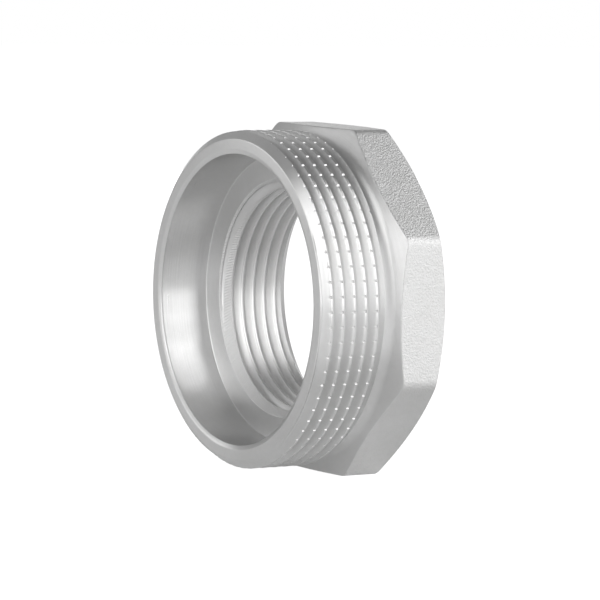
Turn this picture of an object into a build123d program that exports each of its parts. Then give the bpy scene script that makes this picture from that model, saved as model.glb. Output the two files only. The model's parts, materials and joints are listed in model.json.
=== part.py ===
from build123d import *
import os
from math import cos, pi, radians, tan

# Reducing bushing: an octagonal wrenching head in one piece with a short, externally threaded barrel.
# The barrel is counterbored from its open end, and the head is bored for an internal thread.
# All sizes are in millimetres. The axis is X. The barrel points to -X and the head to +X.
# X = 0 is where the full external thread begins, and one flat of the head faces down, to -Z.
# Both threads are stated here as their plain cylinders: the outer one at its crest, the inner at its crest.

# Barrel: external parallel pipe thread, size 2
male_thread_diameter = 59.614
male_thread_length = 11.1
lead_length = 1.2
rim_diameter = 56.5

# Relief between the thread and the head
relief_diameter = 56.6
relief_runout_angle = 70.0
relief_width = 1.35
relief_fillet = 2.0

# Octagonal head
flat_count = 8
across_flats = 61.1
corner_fillet = 2.6
flat_length = 9.0
head_front_angle = 22.5
head_back_angle = 28.0
back_face_diameter = 60.5

# Counterbore at the barrel's open end
counterbore_diameter = 51.3
counterbore_depth = 9.8
counterbore_fillet = 0.5
mouth_diameter = 52.8
mouth_chamfer_depth = 0.3

# Internal parallel pipe thread, size 1 1/4, right through the head
female_thread_bore = 38.952
female_thread_major = 41.910
thread_chamfer_angle = 45.0
exit_chamfer_diameter = 44.0

# Cutters and blanks pass the faces they cut by this much
overrun = 1.0
# A fillet takes at most this share of the wall that it runs out on
fillet_share = 0.995

# Radii and slopes that follow from the sizes above
male_thread_radius = male_thread_diameter / 2
rim_radius = rim_diameter / 2
relief_radius = relief_diameter / 2
flat_radius = across_flats / 2
back_face_radius = back_face_diameter / 2
counterbore_radius = counterbore_diameter / 2
mouth_radius = mouth_diameter / 2
bore_radius = female_thread_bore / 2
entry_radius = female_thread_major / 2
exit_radius = exit_chamfer_diameter / 2
head_front_slope = tan(radians(head_front_angle))
head_back_slope = tan(radians(head_back_angle))
runout_slope = tan(radians(relief_runout_angle))
thread_chamfer_slope = tan(radians(thread_chamfer_angle))
blank_radius = flat_radius / cos(pi / flat_count) + overrun
relief_turn = radians(90.0 - head_front_angle)
relief_fillet_radius = min(relief_fillet, fillet_share * relief_width / tan(relief_turn / 2))

# Stations along the axis
rim_x = -lead_length
runout_x = male_thread_length
relief_x = runout_x + (male_thread_radius - relief_radius) / runout_slope
cone_x = relief_x + relief_width
flat_start_x = cone_x + (flat_radius - relief_radius) * head_front_slope
flat_end_x = flat_start_x + flat_length
back_x = flat_end_x + (flat_radius - back_face_radius) * head_back_slope
front_blank_x = flat_start_x + (blank_radius - flat_radius) * head_front_slope
back_blank_x = flat_end_x - (blank_radius - flat_radius) * head_back_slope
shoulder_x = rim_x + counterbore_depth
entry_x = shoulder_x + (entry_radius - bore_radius) / thread_chamfer_slope
exit_x = back_x - (exit_radius - bore_radius) / thread_chamfer_slope


def turned(half_section):
    """A solid of revolution about the X axis from a half section in the XY plane."""
    return revolve(half_section, Axis.X, 360)


def round_corner(half_section, x, radius, fillet_radius):
    """The half section with the corner at this station and radius rounded off."""
    corner = half_section.vertices().sort_by_distance((x, radius, 0))[0]
    return fillet(corner, fillet_radius)


def outer_envelope():
    """Everything that is turned on the outside: rim, lead, barrel, relief and the two cones of the head."""
    outline = Polyline(
        (rim_x, 0),
        (rim_x, rim_radius),
        (0, male_thread_radius),
        (runout_x, male_thread_radius),
        (relief_x, relief_radius),
        (cone_x, relief_radius),
        (front_blank_x, blank_radius),
        (back_blank_x, blank_radius),
        (back_x, back_face_radius),
        (back_x, 0),
        close=True,
    )
    half_section = make_face(outline)
    half_section = round_corner(half_section, cone_x, relief_radius, relief_fillet_radius)
    return turned(half_section)


def octagon_bar():
    """The bar that gives the head its flats, with one flat down and its long edges rounded."""
    section = RegularPolygon(flat_radius, flat_count, major_radius=False, rotation=180 / flat_count)
    section = fillet(section.vertices(), corner_fillet)
    start = rim_x - overrun
    bar = extrude(section, amount=back_x + overrun - start)
    return Plane.YZ.offset(start) * bar


def bore_cutter():
    """Everything that is turned on the inside: counterbore, shoulder, thread bore and its two chamfers."""
    outline = Polyline(
        (rim_x - overrun, 0),
        (rim_x - overrun, mouth_radius),
        (rim_x, mouth_radius),
        (rim_x + mouth_chamfer_depth, counterbore_radius),
        (shoulder_x, counterbore_radius),
        (shoulder_x, entry_radius),
        (entry_x, bore_radius),
        (exit_x, bore_radius),
        (back_x, exit_radius),
        (back_x + overrun, exit_radius),
        (back_x + overrun, 0),
        close=True,
    )
    half_section = make_face(outline)
    half_section = round_corner(half_section, shoulder_x, counterbore_radius, counterbore_fillet)
    return turned(half_section)


bushing = (outer_envelope() & octagon_bar()) - bore_cutter()

os.makedirs("parts", exist_ok=True)
export_step(bushing.solid(), "parts/bushing.step")
print("overall length", round(back_x - rim_x, 3))
print("thread wall", 0, "to", round(runout_x, 3))
print("internal thread wall", round(entry_x, 3), "to", round(exit_x, 3))
print("flats", round(flat_start_x, 3), "to", round(flat_end_x, 3))
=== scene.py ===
"""Looks of a plated reducing bushing: octagonal head, serrated outer thread, counterbore and inner thread."""

from __future__ import annotations

import json
import logging
import math
from bisect import bisect_left
from dataclasses import dataclass, field
from enum import Enum
from typing import Any, Callable, Mapping, Sequence

import bmesh
import bpy
import numpy as np
from mathutils import Matrix, Vector

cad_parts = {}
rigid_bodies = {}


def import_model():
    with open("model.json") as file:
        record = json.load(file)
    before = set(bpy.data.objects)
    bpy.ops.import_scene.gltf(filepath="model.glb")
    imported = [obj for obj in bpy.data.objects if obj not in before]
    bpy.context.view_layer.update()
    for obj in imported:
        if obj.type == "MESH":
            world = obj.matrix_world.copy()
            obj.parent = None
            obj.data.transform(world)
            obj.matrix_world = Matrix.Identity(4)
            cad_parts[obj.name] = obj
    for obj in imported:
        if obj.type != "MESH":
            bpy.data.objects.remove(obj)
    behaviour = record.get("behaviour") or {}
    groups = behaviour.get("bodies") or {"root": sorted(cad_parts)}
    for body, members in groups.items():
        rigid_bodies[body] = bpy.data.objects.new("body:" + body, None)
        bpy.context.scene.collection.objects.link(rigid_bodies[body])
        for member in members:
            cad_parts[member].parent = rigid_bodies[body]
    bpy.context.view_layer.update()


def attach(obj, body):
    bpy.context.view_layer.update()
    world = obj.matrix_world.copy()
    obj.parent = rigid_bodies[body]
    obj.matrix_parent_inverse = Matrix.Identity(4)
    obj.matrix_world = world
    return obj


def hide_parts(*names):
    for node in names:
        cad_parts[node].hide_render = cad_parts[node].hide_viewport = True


LOG = logging.getLogger("bushing")
MM = 0.001
FULL_TURN = 360.0
HALF_TURN = FULL_TURN / 2
WHITE = (1.0, 1.0, 1.0, 1.0)
# A face needs at least this many corners
FEWEST_CORNERS = 3
# A threaded sheet is laid out with this many turns to spare at each end
SPARE_TURNS = 1
# A crease between two cuts is found by halving a span this often
CREASE_HALVINGS = 24
# Anisotropic Rotation, as a share of a turn, for tool marks that run round the axis
ROUND_THE_AXIS = 0.25
# Meshes are built round their own Z, which this turns to the part's X
ALONG_X = Matrix(((0, 0, 1, 0), (1, 0, 0, 0), (0, 1, 0, 0), (0, 0, 0, 1)))

# A station along the axis and a radius, mm
Point = tuple[float, float]
# Gives the radius that one cut leaves at a station and an angle
Limit = Callable[[float, float], float]


class Zone(Enum):
    """Where on the bushing a face lies, which decides its finish."""

    THREAD = 0
    INNER_THREAD = 1
    ENTRY = 2
    TURNED = 3
    BRUSHED = 4
    BLASTED = 5


@dataclass(frozen=True)
class Ring:
    """One closed ring of vertices round the axis: their angles in degrees and their indices."""

    angles: tuple[float, ...]
    ids: tuple[int, ...]


class Skin:
    """Vertices and faces of one closed surface, kept in cylindrical coordinates until the mesh is made."""

    def __init__(self) -> None:
        """Start with no vertices and no faces."""
        self.points: list[tuple[float, float, float]] = []
        self.faces: list[tuple[int, ...]] = []
        self.zones: list[Zone] = []

    def point(self, x: float, radius: float, angle: float) -> int:
        """Add a vertex.

        Args:
            x: Station along the axis, mm.
            radius: Distance from the axis, mm.
            angle: Angle round the axis, degrees.

        Returns:
            The vertex's index.
        """
        turn = math.radians(angle)
        self.points.append((-radius * math.cos(turn) * MM, radius * math.sin(turn) * MM, x * MM))
        return len(self.points) - 1

    def ring(self, angles: Sequence[float], at: Callable[[float], Point]) -> Ring:
        """Add a ring of vertices.

        Args:
            angles: Angles of the ring's vertices, degrees, rising.
            at: Gives the station and radius for an angle.

        Returns:
            The new ring.
        """
        return Ring(tuple(angles), tuple(self.point(*at(angle), angle) for angle in angles))

    def face(self, corners: Sequence[int], zone: Zone) -> None:
        """Add a face, leaving out corners that fall together.

        Args:
            corners: Vertex indices in order round the face.
            zone: Where the face lies.
        """
        kept = [c for i, c in enumerate(corners) if c != corners[i - 1]]
        if len(set(kept)) >= FEWEST_CORNERS:
            self.faces.append(tuple(kept))
            self.zones.append(zone)

    def join(self, a: Ring, b: Ring, zone: Zone) -> None:
        """Close the strip between two rings, whose vertices may stand at different angles.

        Args:
            a: First ring.
            b: Second ring.
            zone: Where the strip lies.
        """
        if a.angles == b.angles:
            for i in range(len(a.ids)):
                self.face((a.ids[i - 1], a.ids[i], b.ids[i], b.ids[i - 1]), zone)
            return
        start = bisect_left(b.angles, a.angles[0]) % len(b.ids)
        shift = FULL_TURN if b.angles[start] < a.angles[0] else 0.0
        turned = [b.angles[(start + k) % len(b.ids)] + (FULL_TURN if start + k >= len(b.ids) else 0.0) + shift
                  for k in range(len(b.ids) + 1)]
        around = [*a.angles, a.angles[0] + FULL_TURN]
        i = j = 0
        while i < len(a.ids) or j < len(b.ids):
            ai, bj = a.ids[i % len(a.ids)], b.ids[(start + j) % len(b.ids)]
            if j >= len(b.ids) or (i < len(a.ids) and around[i + 1] <= turned[j + 1]):
                self.face((ai, a.ids[(i + 1) % len(a.ids)], bj), zone)
                i += 1
            else:
                self.face((ai, b.ids[(start + j + 1) % len(b.ids)], bj), zone)
                j += 1

    def lathe(self, start: Ring, profile: Sequence[Point], zone: Zone) -> Ring:
        """Carry a ring along a turned profile.

        Args:
            start: Ring that the profile leaves from.
            profile: Stations and radii of the rings to add, mm.
            zone: Where the strips lie.

        Returns:
            The last ring.
        """
        for x, radius in profile:
            following = self.ring(start.angles, lambda _angle, x=x, radius=radius: (x, radius))
            self.join(start, following, zone)
            start = following
        return start


def arc(before: Point, corner: Point, after: Point, radius: float, steps: int) -> list[Point]:
    """Round a corner of a profile.

    Args:
        before: A point on the run into the corner, mm.
        corner: The sharp corner.
        after: A point on the run out of it.
        radius: Radius of the rounding.
        steps: Number of straight pieces in it.

    Returns:
        The points of the rounding, from the first run to the second.
    """
    c = np.array(corner, float)
    a = np.array(before, float) - c
    b = np.array(after, float) - c
    a /= np.linalg.norm(a)
    b /= np.linalg.norm(b)
    half = math.acos(float(np.clip(a @ b, -1.0, 1.0))) / 2
    middle = c + (a + b) / np.linalg.norm(a + b) * radius / math.sin(half)
    first = c + a * radius / math.tan(half) - middle
    last = c + b * radius / math.tan(half) - middle
    sweep = math.acos(float(np.clip(first @ last / radius**2, -1.0, 1.0)))
    points = []
    for k in range(steps + 1):
        share = k / steps
        p = middle + (math.sin((1 - share) * sweep) * first + math.sin(share * sweep) * last) / math.sin(sweep)
        points.append((float(p[0]), float(p[1])))
    return points


@dataclass(frozen=True)
class PipeThread:
    """A parallel pipe thread with rounded roots and narrow flat crests, mm. At angle 0 a crest lies at start."""

    crest_radius: float
    start: float
    inward: bool = False
    pitch: float = 2.309
    depth: float = 1.4785
    rounding: float = 0.3171
    crest_half: float = 0.1924
    crest_rounding: float = 0.06
    flank_angle: float = 27.5

    def drop(self, offset: float) -> float:
        """How far the profile lies below the crest.

        Args:
            offset: Distance along the axis from the middle of the crest, mm.

        Returns:
            The drop, mm.
        """
        half = self.pitch / 2
        away = abs((offset + half) % self.pitch - half)
        flank = math.radians(self.flank_angle)
        tangent = self.crest_rounding * math.tan((math.pi / 2 - flank) / 2)
        if away <= self.crest_half - tangent:
            return 0.0
        if away <= self.crest_half + tangent * math.sin(flank):
            over = away - self.crest_half + tangent
            return self.crest_rounding - math.sqrt(max(self.crest_rounding**2 - over**2, 0.0))
        if away >= half - self.rounding * math.cos(flank):
            return self.depth - self.rounding + math.sqrt(max(self.rounding**2 - (half - away)**2, 0.0))
        return (away - self.crest_half) / math.tan(flank)

    def radius(self, x: float, angle: float) -> float:
        """Radius of the thread's surface.

        Args:
            x: Station along the axis, mm.
            angle: Angle round the axis, degrees.

        Returns:
            The radius, mm.
        """
        drop = self.drop(x - self.start + self.pitch * angle / FULL_TURN)
        return self.crest_radius + drop if self.inward else self.crest_radius - drop


@dataclass(frozen=True)
class HelicalSheet:
    """A threaded surface between two stations, with its rows of vertices laid along the thread."""

    thread: PipeThread
    first_x: float
    last_x: float
    offsets: tuple[float, ...]
    limits: tuple[Limit, ...]

    def surface(self, x: float, angle: float) -> tuple[float, int]:
        """Radius of the surface and which limit sets it.

        Args:
            x: Station along the axis, mm.
            angle: Angle round the axis, degrees.

        Returns:
            The radius, and the index of the limit that cuts deepest.
        """
        radii = [limit(x, angle) for limit in self.limits]
        best = (max if self.thread.inward else min)(range(len(radii)), key=radii.__getitem__)
        return radii[best], best

    def crossing(self, low: float, high: float, pair: tuple[int, int], angle: float) -> float:
        """Where one limit takes over from another.

        Args:
            low: Station where the first limit holds, mm.
            high: Station where the second one holds.
            pair: Indices of the two limits.
            angle: Angle round the axis, degrees.

        Returns:
            The station of the crease, mm.
        """
        first, second = (self.limits[i] for i in pair)
        sign = first(low, angle) - second(low, angle)
        for _ in range(CREASE_HALVINGS):
            middle = (low + high) / 2
            if (first(middle, angle) - second(middle, angle)) * sign > 0:
                low = middle
            else:
                high = middle
        return (low + high) / 2

    def column(self, lines: Sequence[float], angle: float) -> list[float]:
        """Stations of one column's vertices, with the nearest one moved onto each crease.

        Args:
            lines: Offsets of the helical rows, mm, rising.
            angle: Angle round the axis, degrees.

        Returns:
            One station for each row, held between the sheet's two ends.
        """
        lead = self.thread.start - self.thread.pitch * angle / FULL_TURN
        stations = [min(max(line + lead, self.first_x), self.last_x) for line in lines]
        owners = [self.surface(x, angle)[1] for x in stations]
        taken = set()
        for k in range(len(stations) - 1):
            if owners[k] == owners[k + 1] or stations[k] == stations[k + 1]:
                continue
            crease = self.crossing(stations[k], stations[k + 1], (owners[k], owners[k + 1]), angle)
            near = k if crease - stations[k] < stations[k + 1] - crease else k + 1
            if near in taken or not self.first_x < stations[near] < self.last_x:
                near = 2 * k + 1 - near
            if near not in taken and self.first_x < stations[near] < self.last_x:
                taken.add(near)
                stations[near] = crease
        return stations

    def zone(self, stations: Sequence[float], angle: float, zones: Sequence[Zone]) -> Zone:
        """Zone of a face, by the limit that holds at its middle."""
        return zones[self.surface(sum(stations) / len(stations), angle)[1]]

    def build(self, skin: Skin, angles: Sequence[float], zones: Sequence[Zone]) -> tuple[Ring, Ring]:
        """Add the surface to a skin.

        Args:
            skin: Skin to add to.
            angles: Angles of the columns, degrees, rising through less than a full turn.
            zones: Where the surface lies, one for each limit.

        Returns:
            The rings at its two ends.
        """
        pitch, count = self.thread.pitch, len(self.offsets)
        lead = self.thread.start - pitch * angles[0] / FULL_TURN
        lowest = math.floor((self.first_x - lead) / pitch) - SPARE_TURNS
        highest = math.ceil((self.last_x - lead) / pitch) + SPARE_TURNS
        lines = [turn * pitch + offset for turn in range(lowest, highest + 1) for offset in self.offsets]
        first = skin.ring(angles, lambda angle: (self.first_x, self.surface(self.first_x, angle)[0]))
        last = skin.ring(angles, lambda angle: (self.last_x, self.surface(self.last_x, angle)[0]))
        columns: list[list[int]] = []
        places: list[list[float]] = []
        for c, angle in enumerate(angles):
            ids = []
            places.append(self.column(lines, angle))
            for x in places[c]:
                if x <= self.first_x:
                    ids.append(first.ids[c])
                elif x >= self.last_x:
                    ids.append(last.ids[c])
                else:
                    ids.append(skin.point(x, self.surface(x, angle)[0], angle))
            columns.append(ids)
        # Once round, each row has moved on by a pitch, so the last column meets the first one turn further
        columns.append([first.ids[0]] * count + columns[0][:-count])
        for c in range(len(angles)):
            left, right = columns[c], columns[c + 1]
            for k in range(len(lines) - 1):
                zone = self.zone(places[c][k:k + 2], angles[c], zones)
                skin.face((left[k], left[k + 1], right[k + 1], right[k]), zone)
        return first, last


@dataclass(frozen=True)
class Serration:
    """Axial V notches across the crests of the outer thread, each with a steep lower wall, mm and degrees."""

    count: int = 72
    first_angle: float = 1.2
    depth: float = 0.26
    lower_slope: float = 1.5
    upper_slope: float = 0.9
    sag: float = 0.05
    columns: tuple[float, ...] = (-1.5, -0.333, -0.18, 0.0, 0.28, 0.555, 1.5, 2.5)

    def radius(self, crest_radius: float, angle: float) -> float:
        """Radius left by the notches.

        Args:
            crest_radius: Radius of the thread's crest, mm.
            angle: Angle round the axis, degrees.

        Returns:
            The radius of the notch's wall, or of the crest, which sags a little beside each notch, mm.
        """
        step = FULL_TURN / self.count
        past = (angle - self.first_angle + step / 2) % step - step / 2
        slope, away = (self.upper_slope if past > 0 else self.lower_slope), abs(past)
        wall = crest_radius - self.depth + slope * math.radians(away) * crest_radius
        return min(wall, crest_radius - self.sag * (1 - 2 * away / step)**2)

    def angles(self) -> list[float]:
        """Angles of the columns that the notches need.

        Returns:
            The angles, degrees, rising through one turn.
        """
        step = FULL_TURN / self.count
        return sorted(self.first_angle + step * k + offset - HALF_TURN
                      for k in range(self.count) for offset in self.columns)


@dataclass(frozen=True)
class Barrel:
    """Outer threaded barrel with its lead chamfer, serrations and run-out, mm."""

    thread: PipeThread = PipeThread(crest_radius=29.807, start=0.167)
    serration: Serration = Serration()
    rim_x: float = -1.2
    rim_radius: float = 28.25
    runout_x: float = 11.1
    relief_x: float = 11.6485
    relief_radius: float = 28.3
    edge_break: float = 0.04
    offsets: tuple[float, ...] = (-1.1545, -1.0, -0.8732, -0.62, -0.4, -0.2092, -0.19, -0.156,
                                  0.0, 0.156, 0.19, 0.2092, 0.4, 0.62, 0.8732, 1.0)

    def lead(self, x: float, _angle: float) -> float:
        """Radius of the lead chamfer at a station."""
        slope = (self.thread.crest_radius - self.rim_radius) / -self.rim_x
        return self.rim_radius + (x - self.rim_x) * slope

    def runout(self, x: float, _angle: float) -> float:
        """Radius of the run-out cut at a station."""
        slope = (self.thread.crest_radius - self.relief_radius) / (self.relief_x - self.runout_x)
        return self.thread.crest_radius - (x - self.runout_x) * slope

    def notches(self, _x: float, angle: float) -> float:
        """Radius of the serrations at an angle."""
        return self.serration.radius(self.thread.crest_radius, angle)

    def sheet(self) -> HelicalSheet:
        """The barrel's threaded surface."""
        return HelicalSheet(self.thread, self.rim_x + self.edge_break, self.relief_x, self.offsets,
                            (self.thread.radius, self.lead, self.runout, self.notches))


@dataclass(frozen=True)
class Bore:
    """Mouth, counterbore, shoulder and inner thread, mm."""

    thread: PipeThread = PipeThread(crest_radius=19.476, start=11.184, inward=True)
    rim_x: float = -1.2
    mouth_radius: float = 26.4
    mouth_depth: float = 0.3
    wall_radius: float = 25.65
    shoulder_x: float = 8.6
    shoulder_fillet: float = 0.2
    entry_radius: float = 21.22
    back_x: float = 23.09
    exit_radius: float = 22.0
    edge_break: float = 0.02
    edge_row: float = 0.08
    lip_round: float = 0.15
    lip_row: float = 0.3
    rim_row: float = 0.25
    face_row: float = 0.3
    fillet_steps: int = 5
    lip_steps: int = 2
    wall_rows: int = 4
    columns: int = 288
    offsets: tuple[float, ...] = (-1.1545, -1.0, -0.8732, -0.54, -0.2092, -0.19, -0.156, 0.0, 0.156, 0.19, 0.2092,
                                  0.54, 0.8732, 1.0)

    def entry(self, x: float, _angle: float) -> float:
        """Radius of the chamfer where the counterbore meets the thread."""
        return self.entry_radius - (x - self.shoulder_x)

    def exit(self, x: float, _angle: float) -> float:
        """Radius of the chamfer at the back face."""
        return self.exit_radius - (self.back_x - x)

    def sheet(self) -> HelicalSheet:
        """The inner threaded surface."""
        return HelicalSheet(self.thread, self.shoulder_x + self.edge_break, self.back_x - self.edge_break,
                            self.offsets, (self.thread.radius, self.entry, self.exit))

    def angles(self) -> list[float]:
        """Angles of the bore's columns, degrees, rising through one turn."""
        return [FULL_TURN * k / self.columns - HALF_TURN for k in range(self.columns)]

    def shoulder(self) -> list[Point]:
        """Profile of the flat shoulder and the fillet in its corner.

        Returns:
            Its points, from the thread's chamfer to the foot of the wall.
        """
        corner = (self.shoulder_x, self.wall_radius)
        inner = (self.shoulder_x, self.entry_radius)
        mouth = (self.rim_x, self.wall_radius)
        edge = [(self.shoulder_x, self.entry_radius + away) for away in (self.edge_break, self.edge_row)]
        return [*edge, *arc(inner, corner, mouth, self.shoulder_fillet, self.fillet_steps)]

    def wall(self) -> list[Point]:
        """Profile of the counterbore's wall and mouth.

        Returns:
            Its points, from past the fillet to the edge of the rim face.
        """
        foot = self.shoulder_x - self.shoulder_fillet
        lip = (self.rim_x + self.mouth_depth, self.wall_radius)
        rim = (self.rim_x, self.mouth_radius)
        run = lip[0] + self.lip_row - foot
        rows = [(foot + run * k / self.wall_rows, self.wall_radius) for k in range(1, self.wall_rows + 1)]
        edge = (self.rim_x + self.edge_break, self.mouth_radius - self.edge_break)
        return [*rows, *arc(rows[-1], lip, rim, self.lip_round, self.lip_steps), edge]

    def rim(self, rim_radius: float) -> list[Point]:
        """Profile of the flat rim face, from the mouth to its outer edge at this radius."""
        return [(self.rim_x, self.mouth_radius + self.edge_break), (self.rim_x, self.mouth_radius + self.rim_row),
                (self.rim_x, rim_radius - self.rim_row), (self.rim_x, rim_radius - self.edge_break)]


@dataclass(frozen=True)
class Head:
    """Octagonal head between its front and back cones, mm."""

    relief_radius: float = 28.3
    relief_x: float = 11.6485
    cone_x: float = 12.9985
    relief_fillet: float = 2.0
    flat_radius: float = 30.55
    flat_count: int = 8
    corner_fillet: float = 2.6
    flat_start: float = 13.93
    flat_end: float = 22.93
    front_slope: float = 0.41421
    back_slope: float = 0.53171
    back_x: float = 23.09
    back_radius: float = 30.25
    edge_round: float = 0.16
    support: float = 0.25
    rear_share: float = 0.8
    face_break: float = 0.01
    face_rows: tuple[float, ...] = (0.1, 0.4)
    relief_steps: int = 10
    edge_steps: int = 3
    flat_columns: int = 14
    column_step: float = 1.4
    corner_shares: tuple[float, ...] = (0.25, 0.5, 0.75, 1.0, 1.35)

    def octant(self) -> list[float]:
        """Angles of one flat's columns, close together at the rounded corners.

        Returns:
            The angles from the flat's middle, degrees, rising up to its corner.
        """
        half = HALF_TURN / self.flat_count
        near = [half - self.tangent_angle() * share for share in self.corner_shares]
        flat = [self.column_step * k for k in range(self.flat_columns)]
        side = sorted({*flat, *near})
        return [*(-a for a in reversed(side[1:])), *side, half]

    def tangent_angle(self) -> float:
        """Where a corner's rounding meets the flat.

        Returns:
            The angle from the corner's middle, degrees.
        """
        half = math.pi / self.flat_count
        return math.degrees(math.atan2(self.corner_fillet * math.sin(half),
                                       self.arc_centre() + self.corner_fillet * math.cos(half)))

    def arc_centre(self) -> float:
        """Distance from the axis to the centre of a corner's rounding, mm."""
        return (self.flat_radius - self.corner_fillet) / math.cos(math.pi / self.flat_count)

    def angles(self) -> list[float]:
        """Angles of the head's columns, degrees, rising through one turn."""
        step = FULL_TURN / self.flat_count
        return [step * k + a - HALF_TURN for k in range(self.flat_count) for a in self.octant()]

    def outline(self, angle: float) -> float:
        """Radius of the octagon with its rounded corners.

        Args:
            angle: Angle round the axis, degrees.

        Returns:
            The radius, mm.
        """
        step = FULL_TURN / self.flat_count
        from_flat = (angle + step / 2) % step - step / 2
        from_corner = step / 2 - abs(from_flat)
        if from_corner >= self.tangent_angle():
            return self.flat_radius / math.cos(math.radians(from_flat))
        centre, turn = self.arc_centre(), math.radians(from_corner)
        return centre * math.cos(turn) + math.sqrt(self.corner_fillet**2 - (centre * math.sin(turn))**2)

    def relief(self, front: Point, steps: int) -> list[Point]:
        """Rounding between the relief and the front cone, which runs out to this point."""
        return arc((self.relief_x, self.relief_radius), (self.cone_x, self.relief_radius), front,
                   self.relief_fillet, steps)

    def section(self, angle: float) -> tuple[list[Point], list[Point], list[Point]]:
        """Profile of the head at an angle, past the relief's fillet.

        Args:
            angle: Angle round the axis, degrees.

        Returns:
            The rows of the front cone, of the flat and of the back cone with its edge.
        """
        radius = self.outline(angle)
        front = (self.flat_start + (radius - self.flat_radius) * self.front_slope, radius)
        back = (self.flat_end - (radius - self.flat_radius) * self.back_slope, radius)
        rear = (self.back_x, self.back_radius)
        foot = self.relief(front, 1)[-1]
        front_edge = arc(foot, front, back, self.edge_round, self.edge_steps)
        back_edge = arc(front, back, rear, self.edge_round, self.edge_steps)
        near = self.towards(front_edge[0], foot, min(self.support, (radius - foot[1]) / 2))
        inner = self.towards(front_edge[-1], back, self.support)
        outer = self.towards(back_edge[0], front, self.support)
        middle = ((inner[0] + outer[0]) / 2, radius)
        cone = [self.towards(foot, near, math.dist(foot, near) / 2), near, front_edge[0]]
        flat = [*front_edge[1:], inner, middle, outer, back_edge[0]]
        last = self.towards(back_edge[-1], rear, math.dist(back_edge[-1], rear) * self.rear_share)
        return cone, flat, [*back_edge[1:], last]

    @staticmethod
    def towards(start: Point, end: Point, distance: float) -> Point:
        """A point on the way from one point to another.

        Args:
            start: The point that the way leaves from.
            end: The point that it leads to.
            distance: How far to go, mm.

        Returns:
            The point at that distance from the start.
        """
        length = math.dist(start, end)
        share = distance / length if length else 0.0
        return (start[0] + (end[0] - start[0]) * share, start[1] + (end[1] - start[1]) * share)

    def build(self, skin: Skin, start: Ring) -> Ring:
        """Add the relief, the cones, the flats and the back face.

        Args:
            skin: Skin to add to.
            start: Ring at the end of the thread's run-out.

        Returns:
            The ring at the outer edge of the back face.
        """
        angles = self.angles()
        fillet = self.relief((self.flat_start, self.flat_radius), self.relief_steps)
        ring = skin.ring(angles, lambda _angle: fillet[0])
        skin.join(start, ring, Zone.TURNED)
        ring = skin.lathe(ring, fillet[1:], Zone.TURNED)
        sections = {angle: self.section(angle) for angle in angles}
        for part, zone in enumerate((Zone.TURNED, Zone.BLASTED, Zone.TURNED)):
            for row in range(len(sections[angles[0]][part])):
                following = skin.ring(angles, lambda angle, part=part, row=row: sections[angle][part][row])
                skin.join(ring, following, zone)
                ring = following
        edge = (self.back_x - self.face_break, self.back_radius - self.face_break)
        face = [(self.back_x, self.back_radius - away) for away in self.face_rows]
        return skin.lathe(ring, [edge, *face], Zone.TURNED)


class Socket:
    """One output of a node, with Python's operators standing for Math nodes."""

    def __init__(self, graph: Graph, output: bpy.types.NodeSocket) -> None:
        """Keep the graph and the output."""
        self.graph = graph
        self.output = output

    def _math(self, operation: str, *values: Socket | float) -> Socket:
        """Add a Math node with this operation and return its result."""
        inputs = dict(enumerate(values))
        return self.graph.node("ShaderNodeMath", {"operation": operation}, inputs)["Value"]

    def __add__(self, other: Socket | float) -> Socket:
        """The sum of the two."""
        return self._math("ADD", self, other)

    def __radd__(self, other: float) -> Socket:
        """The sum of the two."""
        return self._math("ADD", other, self)

    def __sub__(self, other: Socket | float) -> Socket:
        """This less the other."""
        return self._math("SUBTRACT", self, other)

    def __rsub__(self, other: float) -> Socket:
        """The other less this."""
        return self._math("SUBTRACT", other, self)

    def __mul__(self, other: Socket | float) -> Socket:
        """The product of the two."""
        return self._math("MULTIPLY", self, other)

    def __rmul__(self, other: float) -> Socket:
        """The product of the two."""
        return self._math("MULTIPLY", other, self)

    def __pow__(self, other: float) -> Socket:
        """This to a power."""
        return self._math("POWER", self, other)

    def sine(self) -> Socket:
        """The sine of this, in radians."""
        return self._math("SINE", self)

    def turn(self, across: Socket) -> Socket:
        """The angle whose tangent is this over another value, in radians."""
        return self._math("ARCTAN2", self, across)

    def step(self, low: float, high: float) -> Socket:
        """A smooth rise from 0 to 1 between two values of this.

        Args:
            low: The value below which it is 0.
            high: The value above which it is 1.

        Returns:
            The rise.
        """
        settings = {"interpolation_type": "SMOOTHSTEP"}
        inputs = {"Value": self, "From Min": low, "From Max": high}
        return self.graph.node("ShaderNodeMapRange", settings, inputs)["Result"]


class Made:
    """A node that was just added, whose outputs are read by name."""

    def __init__(self, graph: Graph, node: bpy.types.Node) -> None:
        """Keep the graph and the node."""
        self.graph = graph
        self.node = node

    def __getitem__(self, name: str) -> Socket:
        """The output with this name that is in use."""
        found = [o for o in self.node.outputs if o.name == name and o.enabled]
        return Socket(self.graph, found[0])


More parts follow.
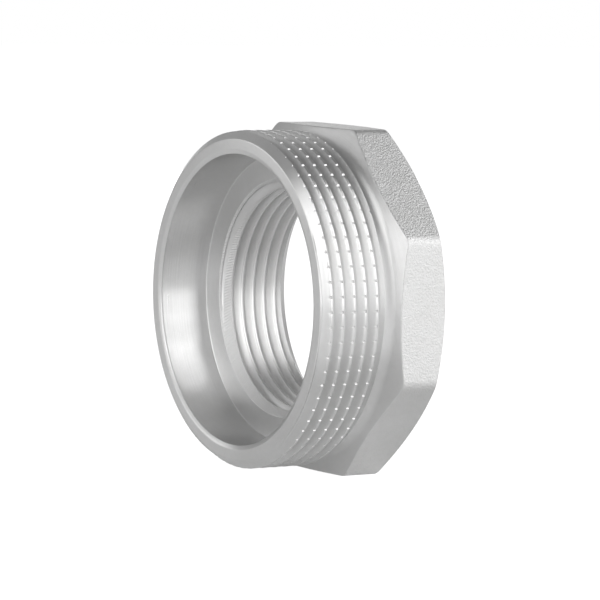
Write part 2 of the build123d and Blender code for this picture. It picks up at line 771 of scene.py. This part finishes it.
class Graph:
    """A node tree that is built from Python."""

    def __init__(self, tree: bpy.types.NodeTree) -> None:
        """Empty the tree and keep it."""
        self.tree = tree
        tree.nodes.clear()

    def node(self, kind: str, settings: Mapping[str, Any], inputs: Mapping[Any, Any]) -> Made:
        """Add a node.

        Args:
            kind: The node's type name.
            settings: Its properties, which are set first.
            inputs: Values or links of its sockets, by name or index. None leaves a socket as it is.

        Returns:
            The new node.
        """
        node = self.tree.nodes.new(kind)
        for name, value in settings.items():
            setattr(node, name, value)
        for key, value in inputs.items():
            if value is None:
                continue
            target = node.inputs[key] if isinstance(key, int) else self.named(node, key)
            if isinstance(value, Socket):
                self.tree.links.new(value.output, target)
            else:
                target.default_value = value
        return Made(self, node)

    def mix(self, share: Socket, low: Sequence[float] | Socket, high: Sequence[float] | Socket) -> Socket:
        """A colour between two others."""
        low, high = (c if isinstance(c, Socket) else (*c, 1.0) for c in (low, high))
        return self.node("ShaderNodeMix", {"data_type": "RGBA"}, {"Factor": share, "A": low, "B": high})["Result"]

    @staticmethod
    def named(node: bpy.types.Node, name: str) -> bpy.types.NodeSocket:
        """The input with this name that is in use."""
        return [i for i in node.inputs if i.name == name and i.enabled][0]


class MetalGraph(Graph):
    """Nodes shared by every finish of the plated metal."""

    def __init__(self, material: bpy.types.Material) -> None:
        """Read the object's own coordinates, and from them the distance from the axis.

        Args:
            material: The material to fill, with its nodes in use.
        """
        super().__init__(material.node_tree)
        self.place = self.node("ShaderNodeTexCoord", {}, {})["Object"]
        split = self.node("ShaderNodeSeparateXYZ", {}, {"Vector": self.place})
        self.across, self.up, self.along = split["X"], split["Y"], split["Z"]
        self.radius = (self.across * self.across + self.up * self.up) ** 0.5

    def vector(self, x: Socket | float, y: Socket | float, z: Socket | float) -> Socket:
        """A vector from three values."""
        return self.node("ShaderNodeCombineXYZ", {}, {"X": x, "Y": y, "Z": z})["Vector"]

    def noise(self, at: Socket, scale: float, detail: float, roughness: float = 0.5) -> Socket:
        """Smooth noise from 0 to 1 at a place."""
        inputs = {"Vector": at, "Scale": scale, "Detail": detail, "Roughness": roughness}
        return self.node("ShaderNodeTexNoise", {"noise_dimensions": "3D"}, inputs)["Fac"]

    def bump(self, height: Socket, depth: float, normal: Socket | None = None) -> Socket:
        """A normal tilted by a height, on top of another normal or the plain one."""
        inputs = {"Height": height, "Distance": depth * MM, "Strength": 1.0, "Normal": normal}
        return self.node("ShaderNodeBump", {}, inputs)["Normal"]

    def finish(self, colour: Socket, roughness: Socket, normal: Socket | None, anisotropy: float) -> None:
        """Connect the metal's shader to the output.

        Args:
            colour: Base colour.
            roughness: Roughness.
            normal: Normal after the bumps, or None for the plain one.
            anisotropy: Strength of the anisotropy, the same all over.
        """
        shader = self.node("ShaderNodeBsdfPrincipled", {}, {
            "Base Color": colour, "Roughness": roughness, "Normal": normal, "Metallic": 1.0,
            "Anisotropic": anisotropy, "Anisotropic Rotation": ROUND_THE_AXIS})
        self.node("ShaderNodeOutputMaterial", {}, {"Surface": shader["BSDF"]})


@dataclass(frozen=True)
class PlatedFinish:
    """Satin nickel plate as it lies on one kind of machined or forged surface. Depths are in mm."""

    name: str
    roughness: float
    roughness_change: float = 0.06
    anisotropy: float = 0.0
    colour: tuple[float, float, float] = (0.80, 0.80, 0.80)
    shade: tuple[float, float, float] = (0.745, 0.745, 0.74)
    shade_rise: tuple[float, float] = (0.25, 0.75)
    cloud_scale: float = 90.0
    cloud_detail: float = 3.0
    cloud_share: float = 0.7
    speck_scale: float = 900.0
    speck_detail: float = 2.0
    speck_share: float = 0.3
    line_depth: float = 0.0
    line_scale: float = 6000.0
    line_detail: float = 4.0
    line_roughness: float = 0.65
    line_lean: float = 0.04
    grain_depth: float = 0.0
    grain_scale: float = 3000.0
    grain_detail: float = 3.0
    grain_roughness: float = 0.6
    chatter_depth: float = 0.0
    chatter_count: int = 250
    chatter_slant: float = 7500.0
    chatter_floor: float = 0.2

    def material(self) -> bpy.types.Material:
        """The finish as a material.

        Returns:
            A node material with colour, roughness and relief that follow the object's own coordinates.
        """
        material = bpy.data.materials.new(self.name)
        material.use_nodes = True
        graph = MetalGraph(material)
        cloud = graph.noise(graph.place, self.cloud_scale, self.cloud_detail)
        speck = graph.noise(graph.place, self.speck_scale, self.speck_detail)
        share = (cloud * self.cloud_share + speck * self.speck_share).step(*self.shade_rise)
        colour = graph.mix(share, self.shade, self.colour)
        rings = graph.vector(graph.across * self.line_lean, graph.radius + graph.up * self.line_lean, graph.along)
        lines = graph.noise(rings, self.line_scale, self.line_detail, self.line_roughness)
        roughness = self.roughness + self.roughness_change * (cloud + lines - 1.0)
        normal = graph.bump(lines, self.line_depth) if self.line_depth else None
        if self.grain_depth:
            grain = graph.noise(graph.place, self.grain_scale, self.grain_detail, self.grain_roughness)
            normal = graph.bump(grain, self.grain_depth, normal)
        if self.chatter_depth:
            wave = graph.up.turn(graph.across) * self.chatter_count + graph.radius * self.chatter_slant
            normal = graph.bump(wave.sine() * (speck + self.chatter_floor), self.chatter_depth, normal)
        graph.finish(colour, roughness, normal, self.anisotropy)
        return material


FINISHES: Mapping[Zone, PlatedFinish] = {
    Zone.THREAD: PlatedFinish("thread_plate", roughness=0.32, anisotropy=0.5, line_depth=0.006, line_scale=2500.0),
    Zone.INNER_THREAD: PlatedFinish("inner_thread_plate", roughness=0.32, anisotropy=0.5, line_depth=0.006,
                                    line_scale=2500.0),
    Zone.ENTRY: PlatedFinish("entry_plate", roughness=0.55, line_depth=0.006, line_scale=2500.0, chatter_depth=0.025),
    Zone.TURNED: PlatedFinish("turned_plate", roughness=0.35, anisotropy=0.7, line_depth=0.028, line_scale=2600.0),
    Zone.BRUSHED: PlatedFinish("brushed_plate", roughness=0.29, anisotropy=0.75, line_depth=0.032, line_scale=2200.0),
    Zone.BLASTED: PlatedFinish("blasted_plate", roughness=0.44, grain_depth=0.15),
}


@dataclass(frozen=True)
class Bushing:
    """The whole one-piece bushing."""

    barrel: Barrel = field(default_factory=Barrel)
    bore: Bore = field(default_factory=Bore)
    head: Head = field(default_factory=Head)
    name: str = "bushing_body"
    smooth_angle: float = 32.0

    def skin(self) -> Skin:
        """Lay out the surface, from the thread inside, over the rim and the barrel, to the back face.

        Returns:
            The closed surface.
        """
        skin = Skin()
        bore_zones = (Zone.INNER_THREAD, Zone.ENTRY, Zone.INNER_THREAD)
        entry, exit_ring = self.bore.sheet().build(skin, self.bore.angles(), bore_zones)
        foot = skin.lathe(entry, self.bore.shoulder(), Zone.TURNED)
        lip = skin.lathe(foot, self.bore.wall(), Zone.BRUSHED)
        rim = skin.lathe(lip, self.bore.rim(self.barrel.rim_radius), Zone.TURNED)
        sheet = self.barrel.sheet()
        nose, tail = sheet.build(skin, self.barrel.serration.angles(), (Zone.THREAD,) * len(sheet.limits))
        skin.join(rim, nose, Zone.TURNED)
        edge = self.head.build(skin, tail)
        inner_row = (self.bore.back_x, self.bore.exit_radius + self.bore.face_row)
        face = skin.ring(self.bore.angles(), lambda _angle: inner_row)
        skin.join(edge, face, Zone.TURNED)
        hole = skin.lathe(face, [(self.bore.back_x, self.bore.exit_radius + self.bore.edge_break)], Zone.TURNED)
        skin.join(hole, exit_ring, Zone.TURNED)
        return skin

    def build(self) -> bpy.types.Object:
        """Make the mesh and dress it.

        Returns:
            The bushing's object, with its axis along the part's X.
        """
        skin = self.skin()
        mesh = bpy.data.meshes.new(self.name)
        mesh.from_pydata(skin.points, [], skin.faces)
        for zone in Zone:
            mesh.materials.append(FINISHES[zone].material())
        mesh.polygons.foreach_set("material_index", [zone.value for zone in skin.zones])
        work = bmesh.new()
        work.from_mesh(mesh)
        bmesh.ops.recalc_face_normals(work, faces=work.faces)
        open_edges = sum(not edge.is_manifold for edge in work.edges)
        triangles = sum(len(face.verts) - 2 for face in work.faces)
        volume = work.calc_volume(signed=True)
        work.to_mesh(mesh)
        work.free()
        mesh.shade_smooth()
        mesh.set_sharp_from_angle(angle=math.radians(self.smooth_angle))
        LOG.info("%s: %d triangles, %d open edges, %.0f mm3", self.name, triangles, open_edges, volume / MM**3)
        body = bpy.data.objects.new(self.name, mesh)
        bpy.context.scene.collection.objects.link(body)
        body.matrix_world = ALONG_X
        return body


@dataclass(frozen=True)
class SoftBox:
    """A rectangular studio lamp aimed at the object, in degrees and metres, and how bright its face is."""

    name: str
    azimuth: float
    elevation: float
    width: float
    height: float
    brightness: float
    distance: float = 0.8

    def build(self) -> bpy.types.Object:
        """Add the lamp.

        Returns:
            The lamp's object.
        """
        data = bpy.data.lights.new(self.name, "AREA")
        data.shape = "RECTANGLE"
        data.size, data.size_y = self.width, self.height
        data.energy = self.brightness * math.pi * self.width * self.height
        lamp = bpy.data.objects.new(self.name, data)
        turn, rise = math.radians(self.azimuth), math.radians(self.elevation)
        lamp.location = Vector((math.sin(turn) * math.cos(rise), -math.cos(turn) * math.cos(rise),
                                math.sin(rise))) * self.distance
        lamp.rotation_euler = lamp.location.to_track_quat("Z", "Y").to_euler()
        lamp.visible_camera = False
        bpy.context.scene.collection.objects.link(lamp)
        return lamp


@dataclass(frozen=True)
class Studio:
    """Pale floor with a painted reflection, soft lamps, surrounding light and the camera.

    Places are in mm and distances on the floor in metres. A rise is where one light starts to give way to the
    next and where it has done so: along the floor, or along the direction that a reflection looks in.
    """

    floor_z: float = -30.55
    floor_size: float = 4.0
    floor_colour: tuple[float, float, float] = (0.86, 0.86, 0.86)
    floor_glow: float = 0.88
    # Painted shadow round the object in the floor's glow, which only glossy rays see
    floor_painted_shadow: float = 0.21
    # Painted light in the floor's glow, which only glossy rays see: brighter in front, dimmer behind
    floor_painted_light_front: float = 0.50
    floor_painted_light_behind: float = 0.28
    floor_far_rise: tuple[float, float] = (0.045, 0.08)
    floor_behind_rise: tuple[float, float] = (-0.05, 0.05)
    camera_place: tuple[float, float, float] = (-340.4, -555.9, 65.4)
    camera_right: tuple[float, float, float] = (0.8453, -0.5336, 0.0275)
    camera_up: tuple[float, float, float] = (0.0300, 0.0988, 0.9947)
    camera_clip: tuple[float, float] = (0.01, 20.0)
    lens: float = 223.4
    sensor: float = 36.0
    horizon_front: float = 0.78
    horizon_behind: float = 0.33
    middle_front: float = 0.75
    middle_behind: float = 0.35
    top_light: float = 0.19
    fill_light: float = 0.15
    middle_rise: tuple[float, float] = (0.26, 0.42)
    top_rise: tuple[float, float] = (0.6, 0.8)
    behind_rise: tuple[float, float] = (-0.3, 0.4)
    lamps: tuple[SoftBox, ...] = (
        SoftBox("left_low_softbox", -83.0, 7.0, 0.4, 0.3, 0.96),
        SoftBox("left_middle_softbox", -85.0, 25.0, 0.46, 0.28, 1.12),
        SoftBox("left_high_softbox", -76.0, 48.0, 0.5, 0.3, 0.95),
        SoftBox("right_low_softbox", 35.0, 6.0, 0.6, 0.3, 1.0),
        SoftBox("right_middle_softbox", 40.0, 26.0, 0.6, 0.3, 1.0),
        SoftBox("right_high_softbox", 60.0, 46.0, 0.5, 0.35, 1.4),
        SoftBox("back_left_softbox", -134.0, 14.0, 0.5, 0.3, 0.9),
        SoftBox("back_right_softbox", 148.0, 10.0, 0.5, 0.3, 1.15),
    )

    def floor(self) -> bpy.types.Object:
        """Add the floor: white to the camera, and for glossy rays a painted shadow near the object and painted light
        farther out.

        Returns:
            The floor's object.
        """
        half = self.floor_size / 2
        mesh = bpy.data.meshes.new("floor")
        corners = [(-half, -half, 0), (half, -half, 0), (half, half, 0), (-half, half, 0)]
        mesh.from_pydata(corners, [], [(0, 1, 2, 3)])
        material = bpy.data.materials.new("floor_paper")
        material.use_nodes = True
        graph = Graph(material.node_tree)
        path = graph.node("ShaderNodeLightPath", {}, {})
        seen = path["Is Camera Ray"] + path["Is Transmission Ray"]
        place = graph.node("ShaderNodeTexCoord", {}, {})["Object"]
        away = graph.node("ShaderNodeVectorMath", {"operation": "LENGTH"}, {0: place})["Value"]
        split = graph.node("ShaderNodeSeparateXYZ", {}, {"Vector": place})
        behind = split["Y"].step(*self.floor_behind_rise)
        # Painted reflection of the floor: painted light in front and behind, and a painted shadow near the object
        far = graph.mix(behind, (self.floor_painted_light_front,) * 3, (self.floor_painted_light_behind,) * 3)
        painted_floor_reflection = graph.mix(away.step(*self.floor_far_rise), (self.floor_painted_shadow,) * 3, far)
        paper = graph.node("ShaderNodeBsdfDiffuse", {}, {"Color": (*self.floor_colour, 1.0)})["BSDF"]
        white = graph.node("ShaderNodeEmission", {}, {"Color": WHITE, "Strength": seen * self.floor_glow})
        # The painted reflection glows only for glossy rays
        painted_reflection = graph.node("ShaderNodeEmission", {}, {"Color": painted_floor_reflection, "Strength": path["Is Glossy Ray"]})
        glow = graph.node("ShaderNodeAddShader", {}, {0: white["Emission"], 1: painted_reflection["Emission"]})["Shader"]
        both = graph.node("ShaderNodeAddShader", {}, {0: paper, 1: glow})["Shader"]
        graph.node("ShaderNodeOutputMaterial", {}, {"Surface": both})
        mesh.materials.append(material)
        floor = bpy.data.objects.new("floor", mesh)
        floor.location.z = self.floor_z * MM
        bpy.context.scene.collection.objects.link(floor)
        return floor

    def surroundings(self) -> None:
        """Light the world: white behind the object, dimmer overhead in reflections."""
        world = bpy.data.worlds.new("studio")
        bpy.context.scene.world = world
        world.use_nodes = True
        graph = Graph(world.node_tree)
        path = graph.node("ShaderNodeLightPath", {}, {})
        seen, glossy = path["Is Camera Ray"] + path["Is Transmission Ray"], path["Is Glossy Ray"]
        place = graph.node("ShaderNodeTexCoord", {}, {})["Generated"]
        split = graph.node("ShaderNodeSeparateXYZ", {}, {"Vector": place})
        middle, top = split["Z"].step(*self.middle_rise), split["Z"].step(*self.top_rise)
        behind = split["Y"].step(*self.behind_rise)
        low = self.horizon_front + (self.horizon_behind - self.horizon_front) * behind
        mid = self.middle_front + (self.middle_behind - self.middle_front) * behind
        reflected = low * (1.0 - middle) + mid * (middle - top) + self.top_light * top
        strength = seen + (1.0 - seen) * (glossy * reflected + (1.0 - glossy) * self.fill_light)
        light = graph.node("ShaderNodeBackground", {}, {"Color": WHITE, "Strength": strength})
        graph.node("ShaderNodeOutputWorld", {}, {"Surface": light["Background"]})

    def camera(self) -> bpy.types.Object:
        """Add the camera at the photograph's place.

        Returns:
            The camera's object.
        """
        data = bpy.data.cameras.new("camera")
        data.lens, data.sensor_width = self.lens, self.sensor
        data.clip_start, data.clip_end = self.camera_clip
        camera = bpy.data.objects.new("camera", data)
        right, up = Vector(self.camera_right).normalized(), Vector(self.camera_up)
        up = (up - right * up.dot(right)).normalized()
        back = right.cross(up)
        turn = Matrix((right, up, back)).transposed().to_4x4()
        camera.matrix_world = Matrix.Translation(Vector(self.camera_place) * MM) @ turn
        bpy.context.scene.collection.objects.link(camera)
        bpy.context.scene.camera = camera
        return camera

    def build(self) -> None:
        """Add everything in the studio."""
        self.floor()
        self.surroundings()
        for lamp in self.lamps:
            lamp.build()
        self.camera()
        view = bpy.context.scene.view_settings
        view.view_transform = "Standard"
        LOG.info("studio: %d lamps", len(self.lamps))


def main() -> None:
    """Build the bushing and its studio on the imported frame."""
    logging.basicConfig(level=logging.INFO, format="%(name)s: %(message)s")
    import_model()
    body = Bushing().build()
    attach(body, "root")
    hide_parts("bushing")
    LOG.info("%s: rides on root in place of bushing", body.name)
    Studio().build()
    bpy.context.view_layer.update()


if __name__ == "__main__":
    main()
